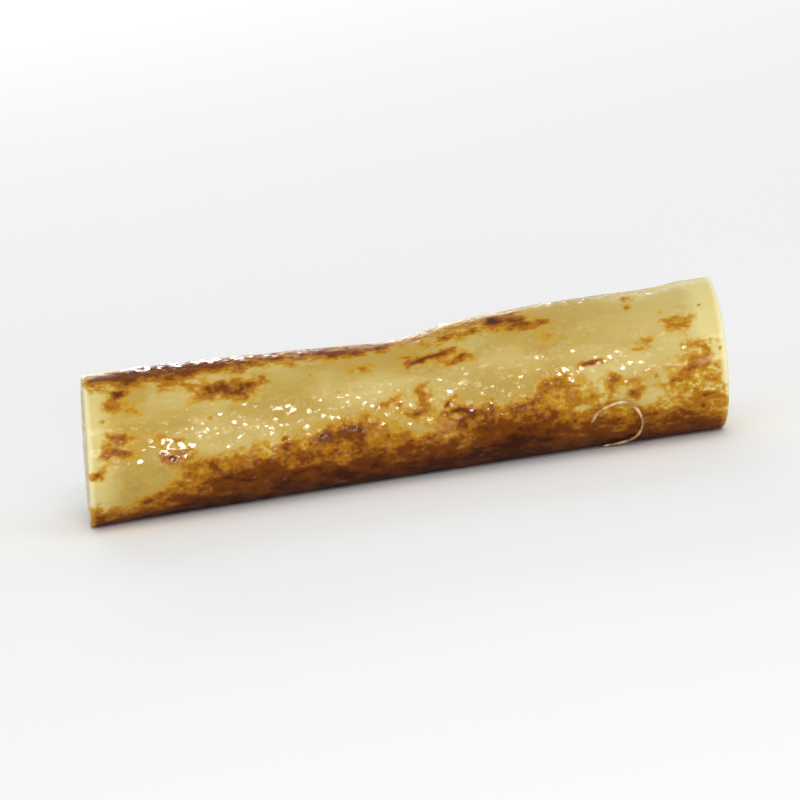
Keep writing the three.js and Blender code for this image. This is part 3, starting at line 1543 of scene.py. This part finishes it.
@dataclass(frozen=True)
class ScrapedSide:
    """The side: straw flesh where it was scraped bare, going through gold to brown where skin was left."""

    straw: Colour = (0.45, 0.305, 0.066)
    cream: Colour = (0.65, 0.55, 0.23)
    # A painted highlight: the whitish line where the rounded edge of a cut catches the light.
    rim: Colour = (0.80, 0.75, 0.50)
    yellow: Colour = (0.50, 0.285, 0.022)
    gold: Colour = (0.375, 0.150, 0.009)
    brown: Colour = (0.165, 0.042, 0.0025)
    # Near black: the densest skin, partly painted shade on the underside.
    dark: Colour = (0.052, 0.010, 0.0012)
    cloud: GrainSize = GrainSize(5.0, 2.2)
    fibre: GrainSize = GrainSize(0.32, 14.0)
    speck: GrainSize = GrainSize(1.0, 1.3)
    dust: GrainSize = GrainSize(0.42, 1.2)
    cream_by_cloud: Ramp = Ramp(0.40, 0.72, 0.0, 0.5)
    cream_by_cut_mm: Ramp = Ramp(4.2, 0.9, 0.0, 0.8)
    cream_by_fibre: Ramp = Ramp(0.35, 0.65, -0.03, 0.03)
    # Paler flesh towards the thick end: partly creamier flesh, partly painted light from that side.
    cream_by_x_mm: Ramp = Ramp(12.0, 30.0, 0.0, 0.45)
    # The painted highlight along the rounded edge of each cut.
    rim_by_cut_mm: Ramp = Ramp(0.8, 0.15, 0.0, 0.65)
    speck_strength: float = 1.0
    dust_strength: float = 0.85
    mottle_at_edge: Ramp = Ramp(0.02, 0.30, 0.10, 1.0)
    mottle_on_skin: Ramp = Ramp(0.5, 0.95, 1.0, 0.55)
    scar_strength: float = 0.7
    thinner_by_cut_mm: Ramp = Ramp(0.1, 0.9, 0.35, 1.0)
    skin_step: Ramp = Ramp(0.4, 0.7)
    skin_step_mm: float = 0.012
    coat: BrineCoat = BrineCoat(0.62, 0.46, 0.08)
    inside: WetFlesh = WetFlesh()

    def build(self) -> bpy.types.Material:
        """Stains the flesh by the skin's density and wets it.

        Returns:
            The material.
        """
        made, nodes = new_material("scraped_side")
        place, near = nodes.place(), nodes.carried("cut_distance")
        density = self.density(nodes, place, near)
        colours = {"Yellow": self.yellow, "Gold": self.gold, "Brown": self.brown, "Dark": self.dark}
        stain = {"Flesh": self.flesh(nodes, place, near), "Density": density, **colours}
        film = self.coat.film(nodes, place, nodes.carried("brine"))
        step = nodes.remap(density, self.skin_step)
        height = nodes.math("MULTIPLY_ADD", step, self.skin_step_mm, film["Height mm"])
        self.inside.build(nodes, PickleStain().put(nodes, stain).outputs["Color"], film, height)
        return made

    def flesh(self, nodes: Nodes, place: Socket, near: Socket) -> Socket:
        """The bare flesh: straw, creamier in clouds, in fibres, near the cuts and, partly as painted light,
        towards the thick end, with a painted highlight along the rounded edge of each cut.

        Args:
            nodes: the material's nodes.
            place: the point's place.
            near: millimetres from the nearer cut.

        Returns:
            Its colour.
        """
        x_mm = nodes.math("DIVIDE", nodes.add("SeparateXYZ", {0: place}).outputs["X"], MM)
        cream = nodes.remap(self.cloud.value(nodes, place), self.cream_by_cloud)
        cream = nodes.math("ADD", cream, nodes.remap(near, self.cream_by_cut_mm))
        cream = nodes.math("ADD", cream, nodes.remap(self.fibre.value(nodes, place), self.cream_by_fibre))
        # Paler towards the thick end, partly as painted light.
        cream = nodes.math("ADD", cream, nodes.remap(x_mm, self.cream_by_x_mm))
        flesh = nodes.blend(nodes.math("MINIMUM", cream, 1.0), self.straw, self.cream)
        # Lays the painted highlight along the rounded edge of the cut.
        return nodes.blend(nodes.remap(near, self.rim_by_cut_mm), flesh, self.rim)

    def density(self, nodes: Nodes, place: Socket, near: Socket) -> Socket:
        """How dense the skin is, broken up by specks and dust, denser in scars and thinner by the cuts.

        Args:
            nodes: the material's nodes.
            place: the point's place.
            near: millimetres from the nearer cut.

        Returns:
            The density: 0 is bare flesh, and over 1 is the darkest skin, partly painted shade.
        """
        skin = nodes.carried("skin")
        mottle = nodes.add_around_half(self.speck.value(nodes, place), self.speck_strength, 0.0)
        mottle = nodes.add_around_half(self.dust.value(nodes, place), self.dust_strength, mottle)
        shown = nodes.remap(skin, self.mottle_at_edge)
        shown = nodes.math("MULTIPLY", shown, nodes.remap(skin, self.mottle_on_skin))
        density = nodes.math("MULTIPLY_ADD", mottle, shown, skin)
        density = nodes.math("MULTIPLY_ADD", nodes.carried("scar"), self.scar_strength, density)
        return nodes.math("MULTIPLY", density, nodes.remap(near, self.thinner_by_cut_mm))


@dataclass(frozen=True)
class CutFace:
    """A knife cut: pale flesh with rays that run out to a thin growth ring, a clearer band outside, and a
    painted highlight round its rounded edge.
    """

    core: Colour = (0.70, 0.56, 0.27)
    rind: Colour = (0.64, 0.48, 0.15)
    # A painted highlight: the pale line where the rounded edge of the cut catches the light.
    rim: Colour = (0.78, 0.70, 0.42)
    ray: Colour = (0.54, 0.38, 0.13)
    ring: Colour = (0.50, 0.34, 0.09)
    cloud: GrainSize = GrainSize(2.4)
    speck: GrainSize = GrainSize(0.34)
    edge_wander: float = 0.12
    rind_begins: Ramp = Ramp(0.70, 0.86)
    ray_by_cloud: Ramp = Ramp(0.5, 0.8, 0.0, 0.40)
    ray_by_rays: Ramp = Ramp(0.02, 0.5, 0.0, 0.55)
    ray_by_speck: Ramp = Ramp(0.56, 0.74, 0.0, 0.35)
    ring_share: float = 0.80
    ring_fade: Ramp = Ramp(0.05, 0.0, 0.0, 0.5)
    # Where the painted highlight at the rim begins.
    rim_begins: Ramp = Ramp(0.93, 1.0, 0.0, 0.8)
    brine_by_cloud: Ramp = Ramp(0.4, 0.6, 0.1, 0.8)
    coat: BrineCoat = BrineCoat(0.6, 0.36, 0.14)
    inside: WetFlesh = WetFlesh(scatter=0.38)

    def build(self) -> bpy.types.Material:
        """Lays the rind, the rays, the ring and a painted highlight at the rim over the core, and wets it.

        Returns:
            The material.
        """
        made, nodes = new_material("cut_flesh")
        place, share = nodes.place(), nodes.carried("core_share")
        cloud, speck = self.cloud.value(nodes, place), self.speck.value(nodes, place)
        edge = nodes.add_around_half(cloud, self.edge_wander, share)
        from_ring = nodes.math("ABSOLUTE", nodes.math("SUBTRACT", edge, self.ring_share))
        layers = (
            (edge, self.rind_begins, self.rind),
            (cloud, self.ray_by_cloud, self.ray),
            (nodes.carried("ray"), self.ray_by_rays, self.ray),
            (speck, self.ray_by_speck, self.ray),
            (from_ring, self.ring_fade, self.ring),
            # The pale rim: a painted highlight on the rounded edge.
            (share, self.rim_begins, self.rim),
        )
        colour = self.core
        for value, ramp, paint in layers:
            colour = nodes.blend(nodes.remap(value, ramp), colour, paint)
        film = self.coat.film(nodes, place, nodes.remap(cloud, self.brine_by_cloud))
        self.inside.build(nodes, colour, film, film["Height mm"])
        return made


@dataclass(frozen=True)
class RootletFinish:
    """A wet rootlet: pale tan, browner in stretches."""

    tan: Colour = (0.70, 0.50, 0.26)
    brown: Colour = (0.34, 0.16, 0.05)
    cloud: GrainSize = GrainSize(1.3)
    brown_by_cloud: Ramp = Ramp(0.40, 0.66)
    coat: BrineCoat = BrineCoat(0.3, 0.3, 0.12)
    inside: WetFlesh = WetFlesh(scatter=0.2, reach_mm=0.4)

    def build(self) -> bpy.types.Material:
        """Clouds the tan with brown and wets it.

        Returns:
            The material.
        """
        made, nodes = new_material("rootlet")
        place = nodes.place()
        cloud = self.cloud.value(nodes, place)
        colour = nodes.blend(nodes.remap(cloud, self.brown_by_cloud), self.tan, self.brown)
        film = self.coat.film(nodes, place, cloud)
        self.inside.build(nodes, colour, film, film["Height mm"])
        return made


@dataclass(frozen=True)
class StudioFloor:
    """A plain pale floor with hardly any gloss."""

    paint: Colour = (0.90, 0.90, 0.89)
    roughness: float = 0.9
    gloss: float = 0.1

    def build(self) -> bpy.types.Material:
        """Paints it.

        Returns:
            The material.
        """
        made, nodes = new_material("studio_floor")
        paint = {"Base Color": self.paint, "Roughness": self.roughness, "Specular IOR Level": self.gloss}
        nodes.shown(nodes.add("BsdfPrincipled", paint))
        return made


# ---------------------------------------------------------------------------------------------------------
# The whole root, the stage and the camera
# ---------------------------------------------------------------------------------------------------------


@dataclass
class BurdockRoot:
    """The root and the rootlets that cling to it."""

    node: bpy.types.Object
    rootlets: tuple[Rootlet, ...] = (
        Rootlet(
            "curled_rootlet",
            (
                (0.785, 209, 0.05),
                (0.793, 202, 0.15),
                (0.810, 197, 0.22),
                (0.830, 195, 0.30),
                (0.846, 197, 0.38),
                (0.858, 204, 0.42),
                (0.864, 215, 0.40),
                (0.860, 228, 0.34),
                (0.850, 237, 0.30),
                (0.830, 244, 0.26),
                (0.808, 248, 0.16),
            ),
            start_mm=0.17,
            end_mm=0.12,
        ),
    )

    def build(self) -> list[bpy.types.Object]:
        """Makes, dresses and places every piece.

        Returns:
            The pieces.
        """
        surface = RootSurface(RootForm(self.node), SkinMap(), Relief())
        root = surface.build()
        root.data.materials.append(ScrapedSide().build())
        root.data.materials.append(CutFace().build())
        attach(root, BODY)
        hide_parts(ROOT_NODE)
        finish = RootletFinish().build()
        pieces = [root]
        for rootlet in self.rootlets:
            piece = rootlet.build(surface)
            piece.data.materials.append(finish)
            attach(piece, BODY)
            pieces.append(piece)
        return pieces


def towards(azimuth: float, elevation: float) -> Vector:
    """The unit way from the root to a place round it. Azimuth 0 is in front, and it grows towards +X."""
    a, e = math.radians(azimuth), math.radians(elevation)
    return Vector((math.sin(a) * math.cos(e), -math.cos(a) * math.cos(e), math.sin(e)))


@dataclass(frozen=True)
class Softbox:
    """A lamp with a flat face, so wide and so high, that looks at the root."""

    name: str
    azimuth: float
    elevation: float
    width: float
    height: float
    watts: float
    tint: Colour = (1.0, 1.0, 1.0)
    distance: float = 0.9

    def build(self, target: Vector) -> bpy.types.Object:
        """Makes the lamp.

        Args:
            target: the point that it looks at.

        Returns:
            The lamp.
        """
        data = bpy.data.lights.new(self.name, "AREA")
        data.shape = "RECTANGLE"
        data.size, data.size_y = self.width, self.height
        data.energy = self.watts
        data.color = self.tint
        lamp = bpy.data.objects.new(self.name, data)
        bpy.context.scene.collection.objects.link(lamp)
        way = towards(self.azimuth, self.elevation)
        lamp.location = target + way * self.distance
        lamp.rotation_mode = "QUATERNION"
        lamp.rotation_quaternion = way.to_track_quat("Z", "Y")
        return lamp


@dataclass
class Studio:
    """Floor, lamps and surrounding light."""

    target: Vector
    floor_size: float = 6.0
    floor_drop_mm: float = 0.03
    surround: Colour = (0.97, 0.98, 1.0)
    surround_strength: float = 0.54
    lamps: tuple[Softbox, ...] = (
        Softbox("overhead_softbox", 20.0, 62.0, 0.90, 0.90, 2.2, (1.0, 0.99, 0.97)),
        Softbox("front_window", 4.0, 7.5, 0.26, 0.11, 2.2),
        Softbox("high_window", 4.0, 36.0, 0.20, 0.10, 1.3),
        Softbox("left_window", -38.0, 18.0, 0.12, 0.07, 0.45),
        Softbox("right_window", 44.0, 18.0, 0.12, 0.07, 0.45),
        Softbox("rear_softbox", 176.0, 28.0, 0.70, 0.24, 1.2, (0.97, 0.98, 1.0)),
        Softbox("rear_window", 186.0, 12.0, 0.34, 0.08, 1.6),
    )

    def build(self) -> None:
        """Makes the floor, the lamps and the surrounding light, and sets plain colour handling."""
        self.lay_floor()
        for lamp in self.lamps:
            lamp.build(self.target)
        world = bpy.data.worlds.new("studio")
        world.use_nodes = True
        background = world.node_tree.nodes["Background"]
        background.inputs["Color"].default_value = (*self.surround, 1.0)
        background.inputs["Strength"].default_value = self.surround_strength
        bpy.context.scene.world = world
        bpy.context.scene.view_settings.view_transform = "Standard"

    def lay_floor(self) -> None:
        """Makes the floor, a square a hair below the root."""
        corners = np.array([[-1, -1, 0], [1, -1, 0], [1, 1, 0], [-1, 1, 0]])
        points = corners * self.floor_size / 2 - np.array([0, 0, self.floor_drop_mm * MM])
        mesh = mesh_from_arrays("studio_floor", points, [np.array([[0, 1, 2, 3]])])
        floor = new_object("studio_floor", mesh)
        floor.data.materials.append(StudioFloor().build())
        floor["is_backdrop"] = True


@dataclass(frozen=True)
class Viewpoint:
    """The camera: low, a little to the left, and rolled so that the root rises to the right."""

    target: Vector
    azimuth: float = -4.0
    elevation: float = 10.0
    roll: float = 8.2
    distance: float = 0.9
    width_shown: float = 0.082
    sensor_mm: float = 36.0
    nearest: float = 0.01
    farthest: float = 50.0

    def build(self) -> bpy.types.Object:
        """Makes the camera and gives it to the scene.

        Returns:
            The camera.
        """
        data = bpy.data.cameras.new("camera")
        data.sensor_width = self.sensor_mm
        data.lens = self.sensor_mm * self.distance / self.width_shown
        data.clip_start, data.clip_end = self.nearest, self.farthest
        camera = bpy.data.objects.new("camera", data)
        bpy.context.scene.collection.objects.link(camera)
        way = towards(self.azimuth, self.elevation)
        aim = way.to_track_quat("Z", "Y").to_matrix().to_4x4()
        roll = Matrix.Rotation(-math.radians(self.roll), 4, "Z")
        camera.matrix_world = Matrix.Translation(self.target + way * self.distance) @ aim @ roll
        bpy.context.scene.camera = camera
        return camera


def main() -> None:
    """Loads the frame, builds the root, and sets the stage and the camera."""
    logging.basicConfig(level=logging.INFO, format="%(name)s: %(message)s", stream=sys.stdout)
    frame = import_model()
    solid_low, solid_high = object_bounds()
    middle = (solid_low + solid_high) / 2
    Viewpoint(middle).build()
    Studio(middle).build()
    for piece in BurdockRoot(frame["nodes"][ROOT_NODE]).build():
        LOG.info("%s: %d faces", piece.name, len(piece.data.polygons))


if __name__ == "__main__":
    main()
